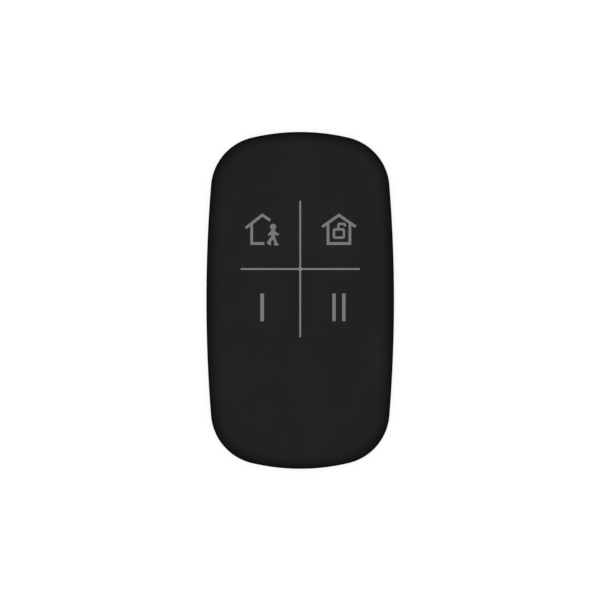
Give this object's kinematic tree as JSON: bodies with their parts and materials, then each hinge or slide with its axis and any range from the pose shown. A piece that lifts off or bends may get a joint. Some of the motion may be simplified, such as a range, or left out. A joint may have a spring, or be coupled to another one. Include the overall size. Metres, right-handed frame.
{
  "type": "alarm key fob",
  "caption": "Flat alarm key fob with bowed sides and rolled edges: press keys parted by a thin grey light cross, shells screwed together from the back, lanyard pin in a notch.",
  "frame": {"origin": "middle of the back face, on which the fob lies", "axes": "+Z out of the face with the keys, +Y along the fob towards the lanyard end, +X to the right seen from the front"},
  "size_m": [0.036, 0.0646, 0.0125],
  "materials": {
    "front_shell": "fine moulded grain, satin",
    "rear_shell": "fine moulded grain, satin",
    "keys": "fine moulded grain, satin",
    "light_guide": "grey, lightly frosted",
    "switch_stem": "moulded",
    "snap_dome": "bright",
    "switch_plate": "satin",
    "switch_base": "moulded",
    "board": "green solder mask",
    "led": "clear resin on white",
    "chip": "moulded",
    "crystal": "satin can",
    "chip_parts": "ceramic chips",
    "antenna": "tinned copper trace",
    "cell": "nickel plated",
    "cell_clip": "spring strip",
    "cell_contact": "gold plated",
    "pin": "ground pin",
    "screws": "black zinc"
  },
  "bodies": {
    "housing": {"front_cover": "front_shell", "rear_cover": "rear_shell", "light_guide": "light_guide", "arm_dome": "snap_dome", "disarm_dome": "snap_dome", "function_one_dome": "snap_dome", "function_two_dome": "snap_dome", "arm_switch_plate": "switch_plate", "disarm_switch_plate": "switch_plate", "function_one_switch_plate": "switch_plate", "function_two_switch_plate": "switch_plate", "arm_switch_base": "switch_base", "disarm_switch_base": "switch_base", "function_one_switch_base": "switch_base", "function_two_switch_base": "switch_base", "circuit_board": "board", "status_led": "led", "radio_chip": "chip", "crystal": "crystal", "chip_parts": "chip_parts", "antenna": "antenna", "coin_cell": "cell", "cell_clip": "cell_clip", "cell_contact": "cell_contact", "lanyard_pin": "pin", "cover_screws": "screws"},
    "arm_key": {"arm_key": "keys", "arm_stem": "switch_stem"},
    "disarm_key": {"disarm_key": "keys", "disarm_stem": "switch_stem"},
    "function_one_key": {"function_one_key": "keys", "function_one_stem": "switch_stem"},
    "function_two_key": {"function_two_key": "keys", "function_two_stem": "switch_stem"}
  },
  "joints": [
    {"name": "arm_press", "type": "slide", "parent": "housing", "child": "arm_key", "axis": [0, 0, -1], "range_m": [0, 0.0004], "stiffness_N_per_m": 3000, "springref_m": -0.0003, "deforming": ["arm_dome"]},
    {"name": "disarm_press", "type": "slide", "parent": "housing", "child": "disarm_key", "axis": [0, 0, -1], "range_m": [0, 0.0004], "stiffness_N_per_m": 3000, "springref_m": -0.0003, "deforming": ["disarm_dome"]},
    {"name": "function_one_press", "type": "slide", "parent": "housing", "child": "function_one_key", "axis": [0, 0, -1], "range_m": [0, 0.0004], "stiffness_N_per_m": 3000, "springref_m": -0.0003, "deforming": ["function_one_dome"]},
    {"name": "function_two_press", "type": "slide", "parent": "housing", "child": "function_two_key", "axis": [0, 0, -1], "range_m": [0, 0.0004], "stiffness_N_per_m": 3000, "springref_m": -0.0003, "deforming": ["function_two_dome"]}
  ]
}
